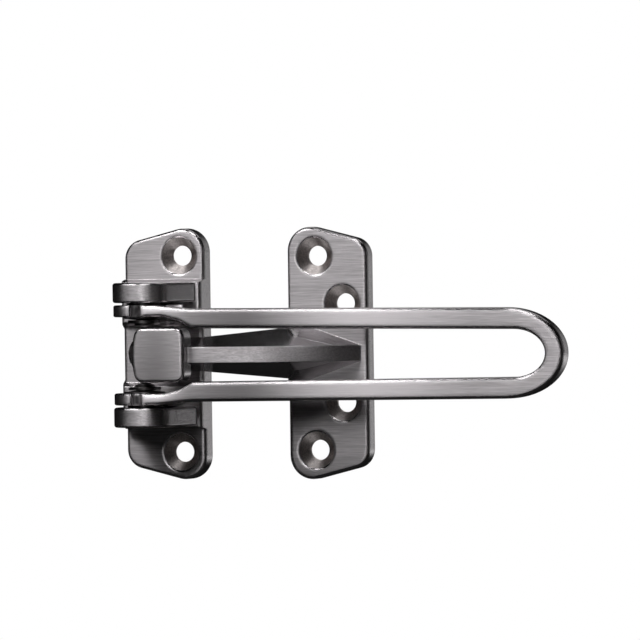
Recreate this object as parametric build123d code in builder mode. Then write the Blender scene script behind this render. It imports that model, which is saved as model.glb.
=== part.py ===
"""Swing bar door guard: a hinge plate for the frame, a swinging U-shaped bar and a keeper for the door.

Millimetres, +Z up. The wall is the plane y = 0 and the guard faces -Y. The origin is the centre of the
hinge plate's back. Depth means the distance in front of the wall, so a depth d lies at y = -d.
"""

import os
from math import cos, radians, sin, sqrt, tan

from build123d import *

# Both plates
plate_height = 65.0
end_slant = 14.0
tall_corner = 6.2
short_corner = 5.0
edge_round = 1.1
back_rim = 2.2
screw_hole = 5.2
screw_head = 10.2
screw_head_angle = 90.0
screw_lip = 1.0

# Hinge plate
hinge_width = 22.4
wing_depth = 4.4
channel_depth = 5.6
shoulder_depth = 7.0
channel_height = 14.6
channel_slope = 1.1
body_height = 38.8
body_step = 0.7
hinge_screw_x = 4.2
hinge_screw_end = 7.05
centre_screw_x = -4.75
hinge_recess = 1.4
hinge_back_web = 9.0

# Hinge line and ears
pivot_x = -1.1
pivot_depth = 15.2
ear_radius = 8.05
ear_inner = 13.5
ear_thickness = 5.15
ear_round = 0.7
ear_foot_x = 9.9
ear_web_start = 74.0

# Pins and washers
pin_diameter = 4.0
pin_running_clearance = 0.05
pin_head_diameter = 5.0
pin_head_height = 0.95
pin_end_chamfer = 0.3
thrust_washer_diameter = 9.0
thrust_washer_thickness = 0.5
spring_washer_diameter = 10.6
spring_washer_thickness = 0.35
spring_washer_rise = 0.4
flat_washer_diameter = 8.4
flat_washer_thickness = 0.8
washer_hole_clearance = 0.1
washer_gap = 0.05

# Swing bar
eye_radius = 7.9
eye_height = 3.05
eye_round = 0.5
bar_depth = 5.0
bar_offset = 2.5
bar_length = 117.95
bar_end_band = 5.2
bar_root_height = 24.0
bar_tip_height = 23.1
slot_root_height = 13.7
slot_tip_height = 12.1
jog_start = 12.5
jog_end = 16.2
jog_lead = 1.1
jog_round = 3.0
outer_jog_start = 6.26
outer_jog_end = 15.76
outer_jog_round = 14.0
loop_outer_reach = 16.0
loop_inner_reach = 8.4
bar_round = 1.1
gusset_reach = 12.4
gusset_angle = 40.0
groove_angle = 5.4
groove_radius = 1.6

# Keeper plate
keeper_width = 22.2
keeper_depth = 4.1
keeper_x = 45.45
keeper_outer_screw_x = -3.5
keeper_screw_end = 7.5
keeper_inner_screw_x = 4.1
keeper_inner_screw_spacing = 25.4
keeper_recess = 0.8
keeper_back_web = 17.0

# Horn and knob
spine_width = 4.0
spine_crest_depth = 20.0
horn_tip_inset = 1.75
horn_wide_offset = -6.55
horn_foot_height = 14.8
horn_foot_left_height = 14.0
horn_foot_depth = 4.4
horn_foot_lean = 3.6
arm_root_height = 14.4
arm_root_depth = 0.8
arm_neck_height = 8.8
arm_neck_depth = 10.2
neck_length = 10.0
arm_steps = 6
tip_steps = 4
knob_x = 5.7
knob_width = 14.5
knob_height = 14.3
knob_depth = 23.2
knob_thickness = 5.6
knob_corner = 2.7
knob_side_bulge = 0.9
knob_crown = 90.0
knob_round = 1.1

# Slack for picking corners and edges by place
tiny = 0.01

# Heights and places that follow from these
hinge_screw_spacing = plate_height - 2 * hinge_screw_end
keeper_outer_screw_spacing = plate_height - 2 * keeper_screw_end
eye_outer = ear_inner - thrust_washer_thickness - 2 * washer_gap
eye_inner = eye_outer - eye_height
ear_outer = ear_inner + ear_thickness
spring_washer_top = eye_inner - washer_gap
spring_washer_base = spring_washer_top - spring_washer_rise - spring_washer_thickness
flat_washer_top = spring_washer_base - washer_gap
pin_head_top = flat_washer_top - flat_washer_thickness - washer_gap
pin_head_base = pin_head_top - pin_head_height
pin_radius = pin_diameter / 2
bar_back = pivot_depth + bar_offset
loop_outer_x = pivot_x + bar_length
loop_inner_x = loop_outer_x - bar_end_band
keeper_left = keeper_x - keeper_width / 2
horn_tip_x = keeper_x + keeper_width / 2 - horn_tip_inset
horn_wide_x = keeper_x + horn_wide_offset
knob_right = knob_x + knob_width / 2
spine_drop = spine_crest_depth - keeper_depth
spine_radius = ((horn_tip_x - knob_right) ** 2 + spine_drop**2) / (2 * spine_drop)
pivot_line = Location((pivot_x, -pivot_depth, 0))


def plate_outline(width, tall_side):
    """Front view of a plate about its own centre, with ends that rise towards its tall side."""
    rise = tan(radians(end_slant))
    tall_z = plate_height / 2 - tall_corner + tall_corner / cos(radians(end_slant)) + tall_corner * rise
    short_z = tall_z - width * rise
    tall_x = tall_side * width / 2
    with BuildSketch() as outline:
        with BuildLine():
            Polyline(
                (tall_x, -tall_z),
                (tall_x, tall_z),
                (-tall_x, short_z),
                (-tall_x, -short_z),
                close=True,
            )
        make_face()
        fillet(outline.vertices().group_by(Axis.X)[-1 if tall_side > 0 else 0], tall_corner)
        fillet(outline.vertices().group_by(Axis.X)[0 if tall_side > 0 else -1], short_corner)
    return outline.sketch


def front_plane(x, depth, z):
    """Plane parallel to the wall at a depth, facing the room."""
    return Plane(origin=(x, -depth, z), x_dir=(1, 0, 0), z_dir=(0, -1, 0))


def screw_planes(x, depth, spacing):
    """The pair of planes on which an upper and a lower screw head sit."""
    return [front_plane(x, depth, side * spacing / 2) for side in (1, -1)]


def screw_rims(plate, depth):
    """Edges where the countersinks of a plate meet its front at a depth."""
    rims = plate.edges().filter_by(GeomType.CIRCLE).filter_by_position(Axis.Y, -depth - tiny, -depth + tiny)
    return rims.filter_by(lambda rim: abs(rim.radius - screw_head / 2) < tiny)


def spine_depth(x):
    """Depth of the horn's front band: an arc, level at the knob and down to the plate at the tip."""
    return spine_crest_depth - spine_radius + sqrt(spine_radius**2 - (x - knob_right) ** 2)


def arm_back_depth(x):
    """Depth of the arm's back, from the plate's left edge out to the neck behind the knob."""
    share = (keeper_left - x) / (keeper_left - knob_right)
    return arm_root_depth + (arm_neck_depth - arm_root_depth) * max(share, 0)


def arm_back_height(x):
    """Height of the arm across its back: widest over the foot, narrower at the neck and the tip."""
    if x <= horn_wide_x:
        share = (x - knob_right) / (horn_wide_x - knob_right)
        return arm_neck_height + (arm_root_height - arm_neck_height) * share
    share = (x - horn_wide_x) / (horn_tip_x - horn_wide_x)
    return arm_root_height + (spine_width - arm_root_height) * share


def arm_half_height(x, depth):
    """Half height of the arm at a depth, on the straight flank between its front band and its back."""
    share = (spine_depth(x) - depth) / (spine_depth(x) - arm_back_depth(x))
    return (spine_width + (arm_back_height(x) - spine_width) * share) / 2


def arm_section(x):
    """Cross-section of the horn's arm at a place along the bar."""
    with BuildSketch(Plane.YZ.offset(x)) as section:
        Polygon(
            (-spine_depth(x), spine_width / 2),
            (-spine_depth(x), -spine_width / 2),
            (-arm_back_depth(x), -arm_back_height(x) / 2),
            (-arm_back_depth(x), arm_back_height(x) / 2),
            align=None,
        )
    return section.sketch


def spine_place(depth):
    """Place along the bar where the horn's front band has come down to a depth."""
    return knob_right + sqrt(spine_radius**2 - (spine_radius - spine_crest_depth + depth) ** 2)


def turned(*profile):
    """Piece turned about the hinge line from its half profile of radius and height."""
    with BuildPart() as piece:
        with BuildSketch(front_plane(pivot_x, pivot_depth, 0)):
            with BuildLine():
                Polyline(*profile, close=True)
            make_face()
        revolve(axis=Axis((pivot_x, -pivot_depth, 0), (0, 0, 1)))
    return piece.part


# Hinge plate
hinge_outline = plate_outline(hinge_width, tall_side=1)
eye_shoulder = channel_height / 2 + channel_slope

with BuildPart() as ear:
    with BuildSketch(Plane.XY.offset(ear_inner)):
        with BuildLine():
            web_angle = radians(ear_web_start)
            boss_middle = radians((ear_web_start - 90) / 2)
            boss_left = (pivot_x - ear_radius, -pivot_depth)
            boss_end = (pivot_x + ear_radius * sin(web_angle), -pivot_depth - ear_radius * cos(web_angle))
            foot = (ear_foot_x, -shoulder_depth)
            Line((boss_left[0], -wing_depth / 2), boss_left)
            ThreePointArc(
                boss_left,
                (pivot_x + ear_radius * sin(boss_middle), -pivot_depth - ear_radius * cos(boss_middle)),
                boss_end,
            )
            TangentArc(boss_end, foot, tangent=(cos(web_angle), sin(web_angle)))
            Polyline(foot, (ear_foot_x, -wing_depth / 2), (boss_left[0], -wing_depth / 2))
        make_face()
    extrude(amount=ear_thickness)
    fillet(ear.faces().filter_by(Axis.Z).edges(), ear_round)

with BuildPart() as hinge_plate:
    with BuildSketch(Plane.XZ):
        add(hinge_outline)
    extrude(amount=wing_depth)
    fillet(hinge_plate.faces().sort_by(Axis.Y)[0].edges(), edge_round)
    with BuildSketch(Plane.YZ):
        with BuildLine():
            Polyline(
                (0, 0),
                (-channel_depth, 0),
                (-channel_depth, channel_height / 2),
                (-shoulder_depth, eye_shoulder),
                (-shoulder_depth, body_height / 2 - body_step),
                (-wing_depth, body_height / 2),
                (0, body_height / 2),
                close=True,
            )
        make_face()
        mirror(about=Plane.XZ)
    extrude(amount=hinge_width / 2, both=True)
    upright = hinge_plate.edges().filter_by(Axis.Z)
    fillet(upright.filter_by_position(Axis.Y, -shoulder_depth, -channel_depth), edge_round)
    add(ear.part)
    mirror(ear.part, about=Plane.XY)
    with Locations(pivot_line):
        Cylinder(pin_radius, 2 * ear_outer + pin_diameter, mode=Mode.SUBTRACT)
    with Locations(*screw_planes(hinge_screw_x, wing_depth, hinge_screw_spacing)):
        CounterSinkHole(screw_hole / 2, screw_head / 2, counter_sink_angle=screw_head_angle)
    with Locations(front_plane(centre_screw_x, channel_depth, 0)):
        CounterSinkHole(screw_hole / 2, screw_head / 2, counter_sink_angle=screw_head_angle)
    fillet(screw_rims(hinge_plate, wing_depth), screw_lip)
    with BuildSketch(Plane.XZ):
        add(hinge_outline)
        offset(amount=-back_rim, mode=Mode.REPLACE)
        Rectangle(hinge_width, hinge_back_web, mode=Mode.SUBTRACT)
    extrude(amount=hinge_recess, mode=Mode.SUBTRACT)

# Eye of the bar, with a rounded rim
with BuildPart() as eye:
    with BuildSketch(Plane.XY.offset(eye_inner)):
        with Locations((pivot_x, -pivot_depth)):
            Circle(eye_radius)
    extrude(amount=eye_height)
    fillet(eye.edges(), eye_round)

# Swing bar, drawn as its upper half and mirrored
groove_turn = radians(groove_angle)
gusset_back = (
    pivot_x + eye_radius * cos(radians(gusset_angle)),
    -pivot_depth + eye_radius * sin(radians(gusset_angle)),
)

with BuildPart() as swing_bar:
    with BuildSketch(Plane.XZ.offset(bar_back)) as bar_face:
        with BuildLine():
            Polyline(
                (pivot_x, eye_outer),
                (pivot_x + outer_jog_start, eye_outer),
                (pivot_x + outer_jog_end, bar_root_height / 2),
                (loop_outer_x - loop_outer_reach, bar_tip_height / 2),
            )
            EllipticalCenterArc(
                (loop_outer_x - loop_outer_reach, 0), loop_outer_reach, bar_tip_height / 2
            )
            Line((loop_outer_x, 0), (loop_inner_x, 0))
            EllipticalCenterArc((loop_inner_x - loop_inner_reach, 0), loop_inner_reach, slot_tip_height / 2)
            Polyline(
                (loop_inner_x - loop_inner_reach, slot_tip_height / 2),
                (pivot_x + jog_end, slot_root_height / 2),
                (pivot_x + jog_start, eye_inner - jog_lead),
                (pivot_x + eye_radius, eye_inner),
                (pivot_x, eye_inner),
                (pivot_x, eye_outer),
            )
        make_face()
        for inner, radius in ((True, jog_round), (False, outer_jog_round)):
            jog = bar_face.vertices().filter_by_position(
                Axis.X, pivot_x + outer_jog_start - tiny, pivot_x + outer_jog_end + tiny
            )
            fillet(jog.filter_by(lambda corner: (corner.Y < eye_inner + tiny) == inner), radius)
        mirror(about=Plane.XZ)
    extrude(amount=bar_depth)
    rounded = swing_bar.faces().filter_by(Axis.Y).edges()
    fillet(rounded.filter_by_position(Axis.X, pivot_x + tiny, loop_outer_x + tiny), bar_round)
    add(eye.part)
    with BuildSketch(Plane.XY.offset(eye_inner)):
        Polygon(
            (pivot_x, -pivot_depth),
            gusset_back,
            (pivot_x + gusset_reach, -bar_back - bar_round),
            align=None,
        )
    extrude(amount=eye_height)
    mirror(about=Plane.XY)
    with Locations(pivot_line):
        Cylinder(pin_radius + pin_running_clearance, 2 * ear_outer, mode=Mode.SUBTRACT)
        with Locations((eye_radius * sin(groove_turn), -eye_radius * cos(groove_turn), 0)):
            Cylinder(groove_radius, 2 * ear_outer, mode=Mode.SUBTRACT)

# Knob with a crowned face
with BuildPart() as knob:
    with BuildSketch(front_plane(knob_x, knob_depth - knob_thickness, 0)) as knob_face:
        with BuildLine():
            bulge_x = -knob_width / 2 + knob_side_bulge
            ThreePointArc((bulge_x, knob_height / 2), (-knob_width / 2, 0), (bulge_x, -knob_height / 2))
            Polyline(
                (bulge_x, -knob_height / 2),
                (knob_width / 2, -knob_height / 2),
                (knob_width / 2, knob_height / 2),
                (bulge_x, knob_height / 2),
            )
        make_face()
        fillet(knob_face.vertices(), knob_corner)
    extrude(amount=knob_thickness)
    with Locations((knob_x, knob_crown - knob_depth, 0)):
        Sphere(knob_crown, mode=Mode.INTERSECT)
    fillet(knob.faces().sort_by(Axis.Y)[0].edges(), knob_round)

# Keeper plate with its horn
keeper_outline = plate_outline(keeper_width, tall_side=-1)
keeper_plane = Plane.XZ.move(Location((keeper_x, 0, 0)))

with BuildPart() as keeper_plate:
    with BuildSketch(keeper_plane):
        add(keeper_outline)
    extrude(amount=keeper_depth)
    fillet(keeper_plate.faces().sort_by(Axis.Y)[0].edges(), edge_round)
    for count, first, last in (
        (arm_steps, knob_right, horn_wide_x),
        (tip_steps, horn_wide_x, horn_tip_x),
    ):
        loft([arm_section(first + (last - first) * step / count) for step in range(count + 1)])
    extrude(arm_section(knob_right), amount=-neck_length)
    foot_top = keeper_depth + horn_foot_depth
    foot_top_left = keeper_left + horn_foot_lean
    foot_rows = (
        (keeper_depth / 2, horn_tip_x, horn_foot_height, keeper_left, horn_foot_left_height),
        (keeper_depth, horn_tip_x, horn_foot_height, keeper_left, horn_foot_left_height),
        (
            foot_top,
            spine_place(foot_top),
            2 * arm_half_height(horn_wide_x, foot_top),
            foot_top_left,
            2 * arm_half_height(foot_top_left, foot_top),
        ),
    )
    for depth, tip_x, wide_height, left_x, left_height in foot_rows:
        with BuildSketch(front_plane(0, depth, 0)):
            Polygon(
                (tip_x, -spine_width / 2),
                (tip_x, spine_width / 2),
                (horn_wide_x, wide_height / 2),
                (left_x, left_height / 2),
                (left_x, -left_height / 2),
                (horn_wide_x, -wide_height / 2),
                align=None,
            )
    loft(ruled=True)
    add(knob.part)
    with Locations(
        *screw_planes(keeper_x + keeper_outer_screw_x, keeper_depth, keeper_outer_screw_spacing),
        *screw_planes(keeper_x + keeper_inner_screw_x, keeper_depth, keeper_inner_screw_spacing),
    ):
        CounterSinkHole(screw_hole / 2, screw_head / 2, counter_sink_angle=screw_head_angle)
    fillet(screw_rims(keeper_plate, keeper_depth), screw_lip)
    with BuildSketch(keeper_plane):
        add(keeper_outline)
        offset(amount=-back_rim, mode=Mode.REPLACE)
        Rectangle(keeper_width, keeper_back_web, mode=Mode.SUBTRACT)
    extrude(amount=keeper_recess, mode=Mode.SUBTRACT)

# Pins and washers, upper ones first
washer_bore = pin_radius + washer_hole_clearance
pin_head_radius = pin_head_diameter / 2
upper_pieces = {
    "pivot_pin": turned(
        (0, pin_head_base),
        (pin_head_radius / 2, pin_head_base),
        (pin_head_radius, pin_head_top - pin_head_height / 2),
        (pin_head_radius, pin_head_top),
        (pin_radius, pin_head_top),
        (pin_radius, ear_outer - pin_end_chamfer),
        (pin_radius - pin_end_chamfer, ear_outer),
        (0, ear_outer),
    ),
    "thrust_washer": turned(
        (washer_bore, eye_outer + washer_gap),
        (thrust_washer_diameter / 2, eye_outer + washer_gap),
        (thrust_washer_diameter / 2, ear_inner - washer_gap),
        (washer_bore, ear_inner - washer_gap),
    ),
    "spring_washer": turned(
        (washer_bore, spring_washer_base),
        (spring_washer_diameter / 2, spring_washer_top - spring_washer_thickness),
        (spring_washer_diameter / 2, spring_washer_top),
        (washer_bore, spring_washer_base + spring_washer_thickness),
    ),
    "flat_washer": turned(
        (washer_bore, flat_washer_top - flat_washer_thickness),
        (flat_washer_diameter / 2, flat_washer_top - flat_washer_thickness),
        (flat_washer_diameter / 2, flat_washer_top),
        (washer_bore, flat_washer_top),
    ),
}

pieces = {
    "hinge_plate": hinge_plate.part,
    "swing_bar": swing_bar.part,
    "keeper_plate": keeper_plate.part,
}
for name, piece in upper_pieces.items():
    with BuildPart() as lower:
        mirror(piece, about=Plane.XY)
    pieces[f"upper_{name}"] = piece
    pieces[f"lower_{name}"] = lower.part

os.makedirs("parts", exist_ok=True)
for name, piece in pieces.items():
    piece.label = name
    export_step(piece, f"parts/{name}.step")
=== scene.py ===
"""Finish, light and camera for the swing bar door guard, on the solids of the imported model."""

from math import cos, radians, sin

import bmesh
import bpy
from bpy.props import FloatProperty, FloatVectorProperty, PointerProperty
from mathutils import Matrix, Vector

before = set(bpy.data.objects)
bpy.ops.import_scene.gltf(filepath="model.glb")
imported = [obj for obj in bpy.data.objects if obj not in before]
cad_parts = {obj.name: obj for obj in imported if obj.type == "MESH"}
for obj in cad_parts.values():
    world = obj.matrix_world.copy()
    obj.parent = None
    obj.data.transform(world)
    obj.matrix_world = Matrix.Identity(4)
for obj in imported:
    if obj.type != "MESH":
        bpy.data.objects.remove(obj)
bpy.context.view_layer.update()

bl_info = {
    "name": "Swing bar door guard",
    "version": (1, 0, 0),
    "blender": (4, 5, 0),
    "location": "View3D > Sidebar > Door guard",
    "description": "Brushed nickel finish, pins, washers and stage for a swing bar door guard",
    "category": "Material",
}

PINS = ("upper_pivot_pin", "lower_pivot_pin")
WASHERS = tuple(
    f"{side}_{kind}"
    for side in ("upper", "lower")
    for kind in ("thrust_washer", "spring_washer", "flat_washer")
)

# Stretches of painted light and shade: middle and reach along the bar in metres, strength, and level next to
# the nickel
# Painted shade over the knob, a darker stretch of the keeper's nickel
KNOB_PAINTED_SHADE = ((0.0057, 0.0085, 0.7, 0.45),)
BAR_PAINTED_LIGHT = (
    # Painted dark reflection along the middle of the arms
    (0.029, 0.026, 0.9, 0.4),
    # Painted bright reflection along the arms towards the loop
    (0.063, 0.034, 0.8, 1.5),
    # Painted highlight on the arms beside the pivot
    (0.003, 0.012, 1.0, 1.57),
    # Painted shade in the groove of the eye
    (-0.0007, 0.0021, 1.0, 0.05),
)

# Metal: shares, levels next to a colour of the finish, roughness, and lengths in metres
PLATING_LEVEL = 0.25
EDGE_SHARE = 0.5
LINE_GLOSS = 0.06
LINE_STRENGTH = 0.35
LINE_DEPTH = 0.00004
GRIT_SCALE = 2600.0
GRIT_LEVELS = (0.45, 1.7)
GRIT_ROUGHNESS = 0.6
MOTTLE_LENGTH = 0.0006
MOTTLE_WIDTH = 0.0003
MOTTLE_LEVELS = (0.6, 1.4)
STEEL_WEAR = 0.00015

# Lamps: point faced, turn to the right and rise in degrees, distance and size in metres, power in watts
HINGE_SIDE = (0.01, 0.0, 0.0)
REACH = 0.345
LAMPS = (
    ("key softbox", HINGE_SIDE, -37.0, 51.0, REACH, (0.15, 0.07), 0.43),
    ("front strip", HINGE_SIDE, 8.5, 17.0, REACH, (0.132, 0.075), 0.25),
    ("front left strip", HINGE_SIDE, -8.0, 17.0, REACH, (0.066, 0.075), 0.045),
    ("front right strip", HINGE_SIDE, 27.0, 17.0, REACH, (0.066, 0.075), 0.047),
    ("top softbox", HINGE_SIDE, 22.0, 65.0, REACH, (0.14, 0.08), 0.3),
    ("left softbox", HINGE_SIDE, -60.0, 40.0, REACH, (0.12, 0.07), 0.12),
    ("right card", (0.04, 0.0, 0.11), 114.9, 0.0, 0.452, (0.25, 0.20), 0.035),
    ("back top softbox", (0.04, 0.0, 0.0), 180.0, 64.7, 0.398, (0.40, 0.12), 0.22),
)

# Where the metal mirrors the white background: by direction in the sky, and in metres on the floor
SKY_BEHIND = (0.82, 1.02)
SKY_BESIDE = (0.0, 0.3)
FLOOR_BEHIND = (0.2, 0.5)
FLOOR_BESIDE = (0.1, 0.3)
ROOM_LIGHT = 0.01
WHITE = (1.0, 1.0, 1.0, 1.0)


class GuardFinish(bpy.types.PropertyGroup):
    """Colours and grain of the metal."""

    nickel: FloatVectorProperty(
        name="Nickel", description="Colour of the plated castings", subtype="COLOR",
        size=4, min=0, max=1, default=(0.635, 0.605, 0.62, 1.0),
    )
    nickel_dark: FloatVectorProperty(
        name="Brushed lines", description="Colour down in the brushed lines", subtype="COLOR",
        size=4, min=0, max=1, default=(0.43, 0.41, 0.42, 1.0),
    )
    seat: FloatVectorProperty(
        name="Screw seat", description="Colour of the unbrushed countersinks", subtype="COLOR",
        size=4, min=0, max=1, default=(0.54, 0.50, 0.49, 1.0),
    )
    steel: FloatVectorProperty(
        name="Dark steel", description="Colour of the pins and washers", subtype="COLOR",
        size=4, min=0, max=1, default=(0.10, 0.095, 0.095, 1.0),
    )
    edge: FloatVectorProperty(
        name="Worn edges", description="Colour of the edges worn bright", subtype="COLOR",
        size=4, min=0, max=1, default=(0.72, 0.70, 0.71, 1.0),
    )
    plating: FloatProperty(
        name="Dark plating", description="How much of the dark plating the unbrushed sides keep",
        subtype="FACTOR", min=0, max=1, default=0.4,
    )
    hinge_wear: FloatProperty(
        name="Hinge plate wear", description="Radius of its worn edges", unit="LENGTH", default=0.00035,
    )
    keeper_wear: FloatProperty(
        name="Keeper plate wear", description="Radius of its worn edges", unit="LENGTH", default=0.0006,
    )
    bar_wear: FloatProperty(
        name="Swing bar wear", description="Radius of its worn edges", unit="LENGTH", default=0.0014,
    )
    line_length: FloatProperty(
        name="Line length", description="Length of a brushed line", unit="LENGTH", default=0.005,
    )
    line_width: FloatProperty(
        name="Line width", description="Width of a brushed line", unit="LENGTH", default=0.00016,
    )
    roughness: FloatProperty(
        name="Roughness", description="Gloss of the brushed metal, from 0 for a mirror to 1",
        subtype="FACTOR", min=0, max=1, default=0.45,
    )
    polish: FloatProperty(
        name="Polish", description="Gloss of the unbrushed sides, from 0 for a mirror to 1",
        subtype="FACTOR", min=0, max=1, default=0.14,
    )
    brushing: FloatProperty(
        name="Brushing", description="How much wider the gloss spreads across the lines than along them",
        subtype="FACTOR", min=0, max=1, default=0.9,
    )


class GuardHoles(bpy.types.PropertyGroup):
    """Where the countersinks are, as the solids have them."""

    head: FloatProperty(
        name="Screw head", description="Radius of a countersink at the front", unit="LENGTH",
        default=0.0051,
    )
    hinge_end: FloatVectorProperty(
        name="Hinge end holes", description="Place along the bar and height above the middle",
        subtype="TRANSLATION", unit="LENGTH", size=2, default=(0.0042, 0.02545),
    )
    keeper_end: FloatVectorProperty(
        name="Keeper end holes", description="Place along the bar and height above the middle",
        subtype="TRANSLATION", unit="LENGTH", size=2, default=(0.04195, 0.025),
    )
    keeper_inner: FloatVectorProperty(
        name="Keeper inner holes", description="Place along the bar and height above the middle",
        subtype="TRANSLATION", unit="LENGTH", size=2, default=(0.04955, 0.0127),
    )


class GuardStage(bpy.types.PropertyGroup):
    """View of the camera and place of the floor."""

    turn: FloatProperty(
        name="Turn", description="How far the camera stands to the right of the front", subtype="ANGLE",
        default=radians(22.16),
    )
    rise: FloatProperty(
        name="Rise", description="How far the camera stands above the middle", subtype="ANGLE",
        default=radians(0.73),
    )
    roll: FloatProperty(
        name="Roll", description="Tilt of the picture", subtype="ANGLE", default=radians(0.79),
    )
    distance: FloatProperty(
        name="Distance", description="From the camera to the point it looks at", unit="LENGTH",
        default=2.0,
    )
    target: FloatVectorProperty(
        name="Looks at", description="Point at the middle of the picture",
        subtype="TRANSLATION", unit="LENGTH", default=(0.04176, 0.0, 0.00844),
    )
    scale: FloatProperty(
        name="Scale", description="Picture widths for each metre at the point the camera looks at",
        default=6.0586,
    )
    floor_height: FloatProperty(
        name="Floor", description="Height of the floor", unit="LENGTH", default=-0.14,
    )


def place(tree, kind, inputs=None, **settings):
    """Adds a node, sets it up, and fills its inputs with values or links."""
    node = tree.nodes.new(kind)
    for name, value in settings.items():
        setattr(node, name, value)
    for key, value in (inputs or {}).items():
        if isinstance(value, bpy.types.NodeSocket):
            tree.links.new(value, node.inputs[key])
        else:
            node.inputs[key].default_value = value
    return node


def work_out(tree, operation, *values):
    """Result of a Math node."""
    return place(tree, "ShaderNodeMath", dict(enumerate(values)), operation=operation).outputs[0]


def vector_math(tree, operation, first, second):
    """Outputs of a Vector Math node."""
    return place(tree, "ShaderNodeVectorMath", {0: first, 1: second}, operation=operation).outputs


def coordinates(tree, output):
    """X, Y and Z of a texture coordinate."""
    source = place(tree, "ShaderNodeTexCoord").outputs[output]
    return place(tree, "ShaderNodeSeparateXYZ", {0: source}).outputs


def fade(tree, value, start, end, **settings):
    """Share that goes from 0 where a value is at its start to 1 at its end."""
    inputs = {"Value": value, "From Min": start, "From Max": end}
    return place(tree, "ShaderNodeMapRange", inputs, **settings).outputs[0]


def noise(tree, vector, scale, detail):
    """Height of a noise texture."""
    inputs = {"Vector": vector, "Scale": scale, "Detail": detail}
    return place(tree, "ShaderNodeTexNoise", inputs).outputs["Fac"]


def mix_values(tree, share, first, second):
    """Value between two values. A Mix node's sockets share their names, so they go by number."""
    return place(tree, "ShaderNodeMix", {0: share, 2: first, 3: second}, data_type="FLOAT").outputs[0]


def mix_colours(tree, share, first, second):
    """Colour between two colours."""
    return place(tree, "ShaderNodeMix", {0: share, 6: first, 7: second}, data_type="RGBA").outputs[2]


def shade(colour, level):
    """Colour made lighter or darker."""
    return tuple(level * part for part in colour[:3]) + (1.0,)


def place_group(tree, group, **inputs):
    """Adds a node group with its own values."""
    node = place(tree, "ShaderNodeGroup", node_tree=group)
    for name, value in inputs.items():
        node.inputs[name].default_value = value
    return node.outputs


def new_group(name, inputs, outputs):
    """Empty shader node group with named sockets, and its input and output nodes."""
    group = bpy.data.node_groups.new(name, "ShaderNodeTree")
    for socket, kind, value in inputs:
        made = group.interface.new_socket(socket, in_out="INPUT", socket_type=kind)
        made.default_value = value
    for socket, kind in outputs:
        group.interface.new_socket(socket, in_out="OUTPUT", socket_type=kind)
    return group, group.nodes.new("NodeGroupInput"), group.nodes.new("NodeGroupOutput")


def brushed_lines():
    """Lines brushed along the bar: long in X and fine in the other two directions."""
    if "brushed lines" in bpy.data.node_groups:
        return bpy.data.node_groups["brushed lines"]
    group, given, result = new_group(
        "brushed lines",
        [("Length", "NodeSocketFloat", 0.005), ("Width", "NodeSocketFloat", 0.00016)],
        [("Lines", "NodeSocketFloat"), ("Clouds", "NodeSocketFloat")],
    )
    point = place(group, "ShaderNodeTexCoord").outputs["Object"]
    along = work_out(group, "DIVIDE", 1.0, given.outputs["Length"])
    across = work_out(group, "DIVIDE", 1.0, given.outputs["Width"])
    noises = []
    for share, detail in ((1.0, 2.0), (0.37, 1.0)):
        long = work_out(group, "MULTIPLY", along, share)
        fine = work_out(group, "MULTIPLY", across, share)
        stretch = place(group, "ShaderNodeCombineXYZ", {0: long, 1: fine, 2: fine}).outputs[0]
        noises.append(noise(group, vector_math(group, "MULTIPLY", point, stretch)[0], 1.0, detail))
    both = work_out(group, "MULTIPLY_ADD", noises[0], 0.6, work_out(group, "MULTIPLY", noises[1], 0.4))
    lines = fade(group, both, 0.36, 0.64)
    clouds = noise(group, point, 60.0, 2.0)
    group.links.new(lines, result.inputs["Lines"])
    group.links.new(clouds, result.inputs["Clouds"])
    return group


def soft_edges():
    """Edges worn bright: how far the rounded normal leaves the true one."""
    if "soft edges" in bpy.data.node_groups:
        return bpy.data.node_groups["soft edges"]
    group, given, result = new_group(
        "soft edges",
        [("Radius", "NodeSocketFloat", 0.0003)],
        [("Edge", "NodeSocketFloat"), ("Normal", "NodeSocketVector")],
    )
    rounded = place(group, "ShaderNodeBevel", {"Radius": given.outputs["Radius"]}, samples=6).outputs[0]
    true = place(group, "ShaderNodeNewGeometry").outputs["True Normal"]
    lean = vector_math(group, "DOT_PRODUCT", rounded, true)["Value"]
    edge = fade(group, lean, 0.995, 0.85)
    group.links.new(edge, result.inputs["Edge"])
    group.links.new(rounded, result.inputs["Normal"])
    return group


def painted_light_patch():
    """Soft patch of painted light and shade along the bar, full at its middle and gone at its reach."""
    if "painted_light_patch" in bpy.data.node_groups:
        return bpy.data.node_groups["painted_light_patch"]
    group, given, result = new_group(
        "painted_light_patch",
        [("Middle", "NodeSocketFloat", 0.0), ("Reach", "NodeSocketFloat", 0.02)],
        [("Patch", "NodeSocketFloat")],
    )
    along = coordinates(group, "Object")["X"]
    away = work_out(group, "ABSOLUTE", work_out(group, "SUBTRACT", along, given.outputs["Middle"]))
    patch = fade(group, away, given.outputs["Reach"], 0.0, interpolation_type="SMOOTHSTEP")
    group.links.new(patch, result.inputs["Patch"])
    return group


def brushed_front():
    """Where a surface faces the front or the back, as far as the brush reaches."""
    if "brushed front" in bpy.data.node_groups:
        return bpy.data.node_groups["brushed front"]
    group, _, result = new_group("brushed front", [], [("Front", "NodeSocketFloat")])
    facing = coordinates(group, "Normal")
    ahead = fade(group, work_out(group, "ABSOLUTE", facing["Y"]), 0.45, 0.65)
    upright = fade(group, work_out(group, "ABSOLUTE", facing["Z"]), 0.45, 0.15)
    group.links.new(work_out(group, "MULTIPLY", ahead, upright), result.inputs["Front"])
    return group


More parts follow.
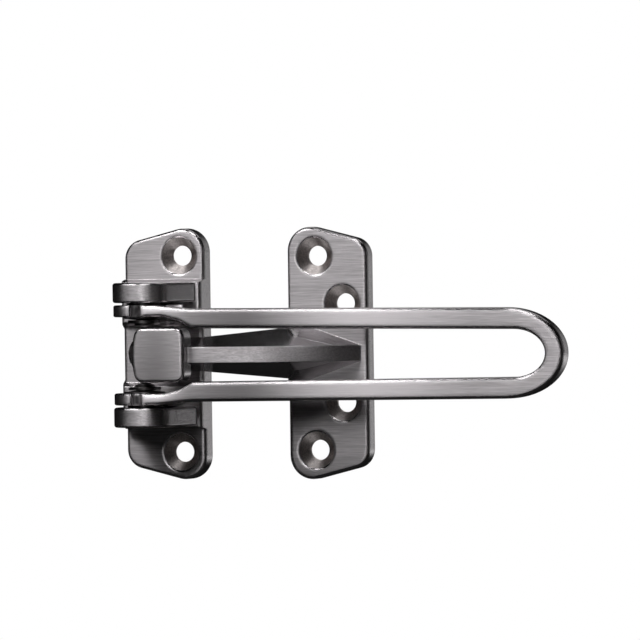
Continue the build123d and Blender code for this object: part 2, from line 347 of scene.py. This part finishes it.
def screw_seat():
    """Grainy ring of an unbrushed countersink inside its bright lip, above and below the middle."""
    if "screw seat" in bpy.data.node_groups:
        return bpy.data.node_groups["screw seat"]
    group, given, result = new_group(
        "screw seat",
        [(name, "NodeSocketFloat", 0.005) for name in ("Along", "Up", "Radius")],
        [("Seat", "NodeSocketFloat")],
    )
    point = coordinates(group, "Object")
    across = work_out(group, "SUBTRACT", point["X"], given.outputs["Along"])
    up = work_out(group, "SUBTRACT", work_out(group, "ABSOLUTE", point["Z"]), given.outputs["Up"])
    squares = work_out(group, "MULTIPLY_ADD", across, across, work_out(group, "MULTIPLY", up, up))
    reach = work_out(group, "DIVIDE", work_out(group, "SQRT", squares), given.outputs["Radius"])
    seat = fade(group, reach, 0.95, 0.92)
    ahead = fade(group, coordinates(group, "Normal")["Y"], 0.2, 0.0)
    group.links.new(work_out(group, "MULTIPLY", seat, ahead), result.inputs["Seat"])
    return group


def new_material(name):
    """Empty node material and its Principled shader, already on its output."""
    material = bpy.data.materials.new(name)
    material.use_nodes = True
    tree = material.node_tree
    tree.nodes.clear()
    shader = place(tree, "ShaderNodeBsdfPrincipled")
    place(tree, "ShaderNodeOutputMaterial", {"Surface": shader.outputs[0]})
    return material, tree, shader


def brushed_nickel(name, wear, holes=(), stretches=()):
    """Brushed dark nickel with edges worn round, grainy countersinks, and stretches of painted light and
    shade.
    """
    finish = bpy.context.scene.guard_finish
    material, tree, shader = new_material(name)
    lines = place_group(tree, brushed_lines(), Length=finish.line_length, Width=finish.line_width)["Lines"]
    edges = place_group(tree, soft_edges(), Radius=wear)
    front = place_group(tree, brushed_front())["Front"]
    colour = mix_colours(tree, lines, finish.nickel_dark, finish.nickel)
    # Painted light and shade: stretches along the bar made lighter or darker than the nickel
    for middle, reach, strength, level in stretches:
        patch = place_group(tree, painted_light_patch(), Middle=middle, Reach=reach)["Patch"]
        share = work_out(tree, "MULTIPLY", patch, strength)
        colour = mix_colours(tree, share, colour, shade(finish.nickel, level))
    # The brush lightens the fronts, and the sides keep more of the dark plating
    unbrushed = work_out(tree, "MULTIPLY_ADD", front, -finish.plating, finish.plating)
    colour = mix_colours(tree, unbrushed, colour, shade(finish.nickel, PLATING_LEVEL))
    colour = mix_colours(tree, work_out(tree, "MULTIPLY", edges["Edge"], EDGE_SHARE), colour, finish.edge)
    rough = work_out(tree, "MULTIPLY_ADD", lines, -LINE_GLOSS, finish.roughness + LINE_GLOSS)
    rough = mix_values(tree, front, finish.polish, rough)
    height = lines
    if holes:
        head = bpy.context.scene.guard_holes.head
        seats = 0.0
        for along, up in holes:
            seat = place_group(tree, screw_seat(), Along=along, Up=up, Radius=head)["Seat"]
            seats = work_out(tree, "MAXIMUM", seats, seat)
        speck = noise(tree, place(tree, "ShaderNodeTexCoord").outputs["Object"], GRIT_SCALE, 3.0)
        grit = mix_colours(tree, speck, *(shade(finish.seat, level) for level in GRIT_LEVELS))
        colour = mix_colours(tree, seats, colour, grit)
        rough = mix_values(tree, seats, rough, GRIT_ROUGHNESS)
        height = mix_values(tree, seats, height, speck)
    relief = {"Strength": LINE_STRENGTH, "Distance": LINE_DEPTH, "Height": height, "Normal": edges["Normal"]}
    tree.links.new(colour, shader.inputs["Base Color"])
    tree.links.new(rough, shader.inputs["Roughness"])
    tree.links.new(place(tree, "ShaderNodeBump", relief).outputs[0], shader.inputs["Normal"])
    # The gloss spreads across the lines. Without the small lean, faces square to them have no direction
    facing = place(tree, "ShaderNodeTexCoord").outputs["Normal"]
    across = vector_math(tree, "CROSS_PRODUCT", facing, (1, 0, 0))[0]
    across = vector_math(tree, "ADD", across, (0, 0.01, 0.02))[0]
    turned = place(tree, "ShaderNodeVectorTransform", {0: across}, convert_from="OBJECT", convert_to="WORLD")
    tree.links.new(turned.outputs[0], shader.inputs["Tangent"])
    shader.inputs["Anisotropic"].default_value = finish.brushing
    shader.inputs["Metallic"].default_value = 1.0
    return material


def dark_steel(name):
    """Dark plated steel with a fine mottle."""
    finish = bpy.context.scene.guard_finish
    material, tree, shader = new_material(name)
    grain = place_group(tree, brushed_lines(), Length=MOTTLE_LENGTH, Width=MOTTLE_WIDTH)
    edges = place_group(tree, soft_edges(), Radius=STEEL_WEAR)
    colour = mix_colours(tree, grain["Lines"], *(shade(finish.steel, level) for level in MOTTLE_LEVELS))
    rough = work_out(tree, "MULTIPLY_ADD", grain["Clouds"], 0.3, 0.2)
    tree.links.new(colour, shader.inputs["Base Color"])
    tree.links.new(rough, shader.inputs["Roughness"])
    tree.links.new(edges["Normal"], shader.inputs["Normal"])
    shader.inputs["Metallic"].default_value = 1.0
    return material


def dress(node, material):
    """Gives a solid its material."""
    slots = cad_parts[node].data.materials
    slots.clear()
    slots.append(material)


class GUARD_OT_hinge(bpy.types.Operator):
    """Finishes the hinge plate"""

    bl_idname = "guard.hinge"
    bl_label = "Hinge plate"

    def execute(self, context):
        wear = context.scene.guard_finish.hinge_wear
        holes = (context.scene.guard_holes.hinge_end,)
        dress("hinge_plate", brushed_nickel("hinge nickel", wear, holes))
        return {"FINISHED"}


class GUARD_OT_keeper(bpy.types.Operator):
    """Finishes the keeper plate with its horn and knob"""

    bl_idname = "guard.keeper"
    bl_label = "Keeper plate"

    def execute(self, context):
        wear = context.scene.guard_finish.keeper_wear
        places = context.scene.guard_holes
        holes = (places.keeper_end, places.keeper_inner)
        dress("keeper_plate", brushed_nickel("keeper nickel", wear, holes, KNOB_PAINTED_SHADE))
        return {"FINISHED"}


class GUARD_OT_bar(bpy.types.Operator):
    """Finishes the swing bar"""

    bl_idname = "guard.bar"
    bl_label = "Swing bar"

    def execute(self, context):
        wear = context.scene.guard_finish.bar_wear
        dress("swing_bar", brushed_nickel("bar nickel", wear, stretches=BAR_PAINTED_LIGHT))
        return {"FINISHED"}


class GUARD_OT_pivots(bpy.types.Operator):
    """Finishes the pivot pins and the washers"""

    bl_idname = "guard.pivots"
    bl_label = "Pins and washers"

    def execute(self, context):
        pin = dark_steel("pin steel")
        washer = dark_steel("washer steel")
        for node in PINS:
            dress(node, pin)
        for node in WASHERS:
            dress(node, washer)
        return {"FINISHED"}


def direction(turn, rise):
    """Direction from the guard, turned to the right of its front and raised."""
    return Vector((sin(turn) * cos(rise), -cos(turn) * cos(rise), sin(rise)))


def soft_lamp(name, look_at, turn, rise, distance, size, power):
    """Rectangular area lamp that faces a point, from a direction in degrees."""
    data = bpy.data.lights.new(name, "AREA")
    data.shape = "RECTANGLE"
    data.size, data.size_y = size
    data.energy = power
    lamp = bpy.data.objects.new(name, data)
    away = direction(radians(turn), radians(rise))
    lamp.location = Vector(look_at) + away * distance
    lamp.visible_camera = False
    lamp.rotation_euler = (-away).to_track_quat("-Z", "Y").to_euler()
    bpy.context.scene.collection.objects.link(lamp)


def white_share(tree, spot, behind, beside):
    """How white the background looks: fully to the camera and through glass, and in what the metal
    mirrors only behind the guard on its right, so that its flanks stay dark."""
    rays = place(tree, "ShaderNodeLightPath").outputs
    seen = work_out(tree, "MAXIMUM", rays["Is Camera Ray"], rays["Is Transmission Ray"])
    there = work_out(tree, "MULTIPLY", fade(tree, spot["Y"], *behind), fade(tree, spot["X"], *beside))
    mirrored = work_out(tree, "MULTIPLY", rays["Is Glossy Ray"], there)
    return work_out(tree, "MAXIMUM", seen, mirrored)


def studio_sky(scene):
    """Dark room with a plain white background."""
    world = bpy.data.worlds.new("studio")
    world.use_nodes = True
    tree = world.node_tree
    tree.nodes.clear()
    room = place(tree, "ShaderNodeBackground", {"Color": WHITE, "Strength": ROOM_LIGHT}).outputs[0]
    white = place(tree, "ShaderNodeBackground", {"Color": WHITE, "Strength": 1.0}).outputs[0]
    share = white_share(tree, coordinates(tree, "Generated"), SKY_BEHIND, SKY_BESIDE)
    both = place(tree, "ShaderNodeMixShader", {0: share, 1: room, 2: white})
    place(tree, "ShaderNodeOutputWorld", {0: both.outputs[0]})
    scene.world = world


def pale_floor(height):
    """Plain floor that is white like the background."""
    mesh = bpy.data.meshes.new("floor")
    shape = bmesh.new()
    bmesh.ops.create_grid(shape, x_segments=1, y_segments=1, size=1.5)
    bmesh.ops.translate(shape, verts=shape.verts, vec=(0.05, 0, height))
    shape.to_mesh(mesh)
    shape.free()
    floor = bpy.data.objects.new("floor", mesh)
    bpy.context.scene.collection.objects.link(floor)
    material, tree, shader = new_material("floor")
    shader.inputs["Base Color"].default_value = (0.03, 0.03, 0.03, 1)
    shader.inputs["Roughness"].default_value = 0.9
    white = place(tree, "ShaderNodeEmission", {"Color": WHITE, "Strength": 1.0}).outputs[0]
    share = white_share(tree, coordinates(tree, "Object"), FLOOR_BEHIND, FLOOR_BESIDE)
    both = place(tree, "ShaderNodeMixShader", {0: share, 1: shader.outputs[0], 2: white})
    tree.links.new(both.outputs[0], tree.nodes["Material Output"].inputs["Surface"])
    mesh.materials.append(material)


def front_camera(scene):
    """Camera with the view, scale and tilt of the stage's settings."""
    stage = scene.guard_stage
    data = bpy.data.cameras.new("camera")
    data.sensor_width = 36.0
    data.lens = stage.scale * stage.distance * data.sensor_width
    back = direction(stage.turn, stage.rise)
    right = Vector((cos(stage.turn), sin(stage.turn), 0.0))
    up = back.cross(right)
    turned_right = right * cos(stage.roll) - up * sin(stage.roll)
    turned_up = right * sin(stage.roll) + up * cos(stage.roll)
    axes = Matrix((turned_right, turned_up, back)).transposed().to_4x4()
    camera = bpy.data.objects.new("camera", data)
    camera.matrix_world = Matrix.Translation(Vector(stage.target) + back * stage.distance) @ axes
    scene.collection.objects.link(camera)
    scene.camera = camera


class GUARD_OT_stage(bpy.types.Operator):
    """Sets up the floor, the light and the camera"""

    bl_idname = "guard.stage"
    bl_label = "Stage"

    def execute(self, context):
        scene = context.scene
        scene.view_settings.view_transform = "Standard"
        studio_sky(scene)
        pale_floor(scene.guard_stage.floor_height)
        for lamp in LAMPS:
            soft_lamp(*lamp)
        front_camera(scene)
        return {"FINISHED"}


class GUARD_PT_panel(bpy.types.Panel):
    """Door guard"""

    bl_label = "Door guard"
    bl_space_type = "VIEW_3D"
    bl_region_type = "UI"
    bl_category = "Door guard"

    def draw(self, context):
        for operator in OPERATORS:
            self.layout.operator(operator.bl_idname)
        for group in (context.scene.guard_finish, context.scene.guard_holes, context.scene.guard_stage):
            for name in group.__annotations__:
                self.layout.prop(group, name)


OPERATORS = (GUARD_OT_stage, GUARD_OT_hinge, GUARD_OT_keeper, GUARD_OT_bar, GUARD_OT_pivots)
CLASSES = (GuardFinish, GuardHoles, GuardStage, *OPERATORS, GUARD_PT_panel)


def register():
    for cls in CLASSES:
        bpy.utils.register_class(cls)
    bpy.types.Scene.guard_finish = PointerProperty(type=GuardFinish)
    bpy.types.Scene.guard_holes = PointerProperty(type=GuardHoles)
    bpy.types.Scene.guard_stage = PointerProperty(type=GuardStage)


def unregister():
    del bpy.types.Scene.guard_stage
    del bpy.types.Scene.guard_holes
    del bpy.types.Scene.guard_finish
    for cls in reversed(CLASSES):
        bpy.utils.unregister_class(cls)


def main():
    register()
    bpy.ops.guard.stage()
    bpy.ops.guard.hinge()
    bpy.ops.guard.keeper()
    bpy.ops.guard.bar()
    bpy.ops.guard.pivots()


if __name__ == "__main__":
    main()
